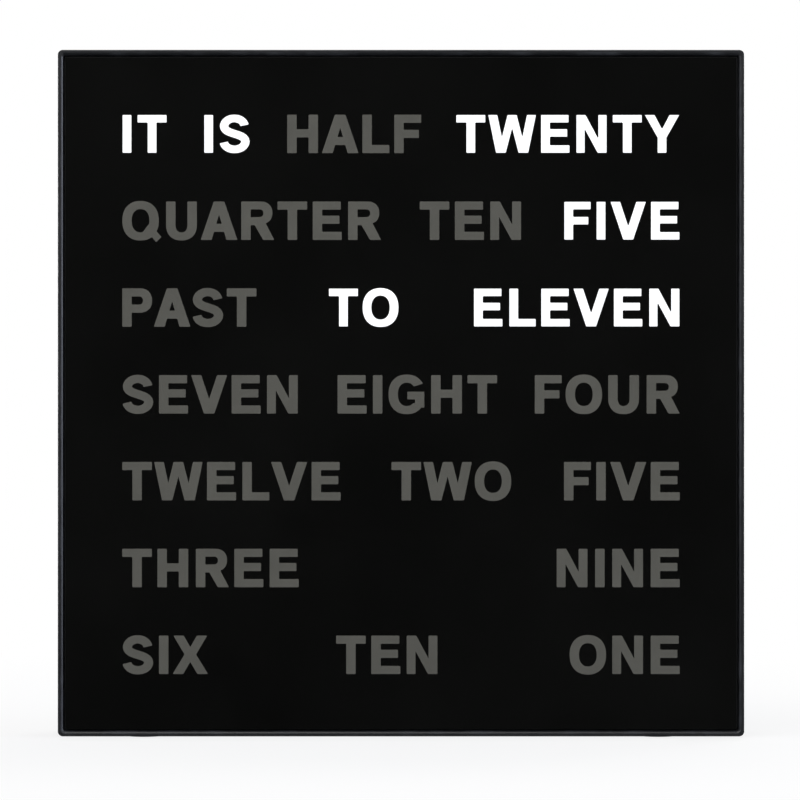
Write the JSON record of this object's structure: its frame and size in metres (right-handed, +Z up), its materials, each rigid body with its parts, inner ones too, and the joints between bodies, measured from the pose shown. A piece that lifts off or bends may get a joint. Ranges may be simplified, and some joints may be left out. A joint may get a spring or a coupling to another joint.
{
  "type": "word clock",
  "caption": "Square word clock for a wall or table: thin frame, glossy dial panel with back-lit words, fold-out rear leg, set keys, wall keyholes and a low-voltage inlet.",
  "frame": {"origin": "on the table under the middle of the clock, at the bottom centre of its box", "axes": "+X to the right seen from the front, the dial faces -Y, +Z up"},
  "size_m": [0.165, 0.03, 0.1653],
  "materials": {
    "case_plastic": "satin moulded ABS, fine texture",
    "panel_acrylic": "polished black-printed acrylic",
    "tape_foam": "matt adhesive tape",
    "mask_print": "black printed film",
    "diffuser_plastic": "milky sheet",
    "baffle_plastic": "white moulded plastic",
    "board_white": "white solder mask",
    "board_green": "green solder mask",
    "led_white": "white lamp body with a pale yellow face",
    "chip_epoxy": "matt moulded epoxy",
    "screw_steel": "zinc-plated steel",
    "screw_black": "black-oxide steel",
    "header_plastic": "moulded nylon",
    "switch_plastic": "moulded nylon",
    "stem_plastic": "moulded acetal",
    "key_plastic": "satin moulded ABS",
    "jack_plastic": "moulded nylon",
    "pin_metal": "nickel-plated pin",
    "capacitor_sleeve": "shrunk sleeve",
    "leg_plastic": "satin moulded ABS",
    "pad_rubber": "soft black rubber",
    "cell_steel": "bright stainless steel",
    "contact_brass": "plated spring brass"
  },
  "bodies": {
    "case": {"front_case": "case_plastic", "front_panel": "panel_acrylic", "panel_tape": "tape_foam", "mask_film": "mask_print", "diffuser_sheet": "diffuser_plastic", "light_baffle": "baffle_plastic", "led_board": "board_white", "leds": "led_white", "board_chips": "chip_epoxy", "board_screws": "screw_steel", "header_socket": "header_plastic", "header_pins": "header_plastic", "control_board": "board_green", "control_screws": "screw_steel", "tact_switches": "switch_plastic", "power_jack": "jack_plastic", "jack_pin": "pin_metal", "smoothing_capacitor": "capacitor_sleeve", "rear_cover": "case_plastic", "case_screws": "screw_black", "leg_pin": "pin_metal", "battery_door": "case_plastic", "battery_screw": "screw_steel", "coin_cell": "cell_steel", "cell_contact_base": "contact_brass", "cell_contact_side": "contact_brass", "rubber_feet": "pad_rubber"},
    "hour_key": {"hour_button": "key_plastic", "hour_stem": "stem_plastic"},
    "minute_key": {"minute_button": "key_plastic", "minute_stem": "stem_plastic"},
    "light_key": {"light_button": "key_plastic", "light_stem": "stem_plastic"},
    "leg": {"stand_leg": "leg_plastic", "leg_pad": "pad_rubber"}
  },
  "joints": [
    {"name": "hour_press", "type": "slide", "parent": "case", "child": "hour_key", "axis": [0, -1, 0], "range_m": [0, 0.0006], "stiffness_N_per_m": 2000},
    {"name": "minute_press", "type": "slide", "parent": "case", "child": "minute_key", "axis": [0, -1, 0], "range_m": [0, 0.0006], "stiffness_N_per_m": 2000},
    {"name": "light_press", "type": "slide", "parent": "case", "child": "light_key", "axis": [0, -1, 0], "range_m": [0, 0.0006], "stiffness_N_per_m": 2000},
    {"name": "leg_hinge", "type": "hinge", "parent": "case", "child": "leg", "pos_m": [0, 0.0126, 0.0983], "axis": [1, 0, 0], "range_deg": [0, 32]}
  ]
}
